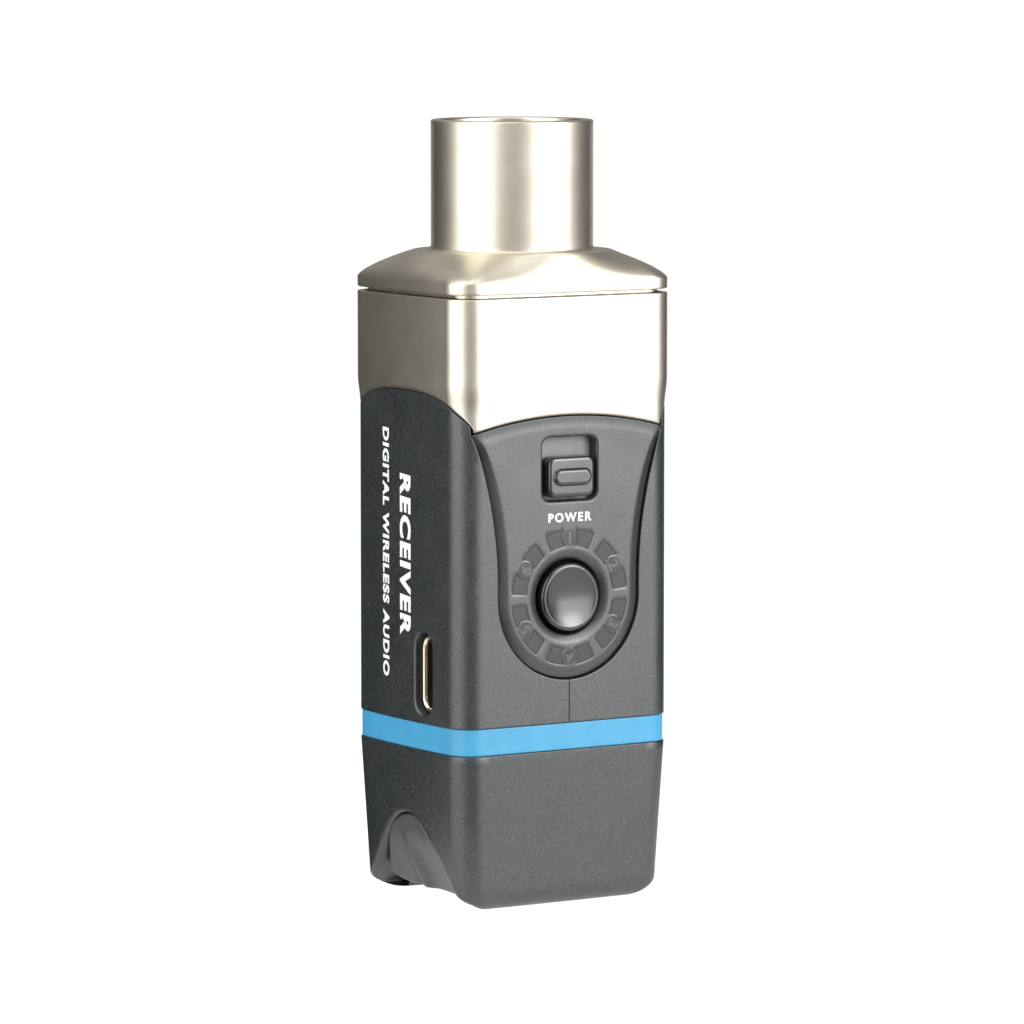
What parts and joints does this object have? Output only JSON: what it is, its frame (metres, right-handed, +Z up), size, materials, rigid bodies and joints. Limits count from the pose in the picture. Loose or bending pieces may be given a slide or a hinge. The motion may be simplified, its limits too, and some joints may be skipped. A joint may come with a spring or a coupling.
{
  "type": "plug-on wireless audio receiver",
  "caption": "Plug-on wireless audio receiver: metal male XLR barrel on a boxy plastic body with a slide switch, channel button, light ring and charging socket.",
  "frame": {"origin": "middle of the flat base", "axes": "+Z up along the XLR barrel, the control panel faces -Y, the charging socket faces -X"},
  "size_m": [0.0306, 0.0265, 0.091],
  "materials": {
    "satin_nickel": "satin champagne nickel plate",
    "black_plastic": "finely textured black ABS",
    "panel_plastic": "finely textured charcoal ABS",
    "button_plastic": "satin black moulded plastic",
    "accent_blue": "satin sky blue plastic",
    "grey_plastic": "fine matte grey plastic",
    "smoky_lens": "smoke tinted translucent plastic",
    "contact_metal": "bright nickel plate",
    "screw_steel": "zinc plated steel",
    "circuit_board": "green solder mask",
    "led": "pale diffusing plastic",
    "battery_foil": "laminated foil pouch",
    "foam": "closed cell foam"
  },
  "bodies": {
    "root": {"xlr_sleeve": "satin_nickel", "xlr_insert": "black_plastic", "xlr_pin_1": "contact_metal", "xlr_pin_2": "contact_metal", "xlr_pin_3": "contact_metal", "top_cap": "satin_nickel", "neck_plate": "satin_nickel", "cap_screw_1": "screw_steel", "cap_screw_2": "screw_steel", "cap_screw_3": "screw_steel", "cap_screw_4": "screw_steel", "metal_shroud": "satin_nickel", "left_shell": "black_plastic", "right_shell": "black_plastic", "front_panel": "panel_plastic", "accent_band": "accent_blue", "bottom_cap": "black_plastic", "grip_insert": "grey_plastic", "slide_switch_body": "screw_steel", "tact_switch_body": "black_plastic", "channel_light_ring": "smoky_lens", "channel_led_1": "led", "channel_led_2": "led", "channel_led_3": "led", "channel_led_4": "led", "channel_led_5": "led", "channel_led_6": "led", "usb_shell": "contact_metal", "usb_tongue": "black_plastic", "main_board": "circuit_board", "board_screw_1": "screw_steel", "board_screw_2": "screw_steel", "board_screw_3": "screw_steel", "board_screw_4": "screw_steel", "radio_shield": "screw_steel", "chip_antenna": "led", "battery_cell": "battery_foil", "battery_pad": "foam"},
    "power_slider": {"power_slider_cap": "panel_plastic", "slider_apron": "grey_plastic", "switch_lever": "black_plastic"},
    "channel_button": {"channel_button": "button_plastic", "tact_plunger": "black_plastic"}
  },
  "joints": [
    {"name": "power_slide", "type": "slide", "parent": "root", "child": "power_slider", "axis": [0, 0, 1], "range_m": [0, 0.0022]},
    {"name": "channel_press", "type": "slide", "parent": "root", "child": "channel_button", "axis": [0, 1, 0], "range_m": [0, 0.00035], "stiffness_N_per_m": 1500}
  ]
}
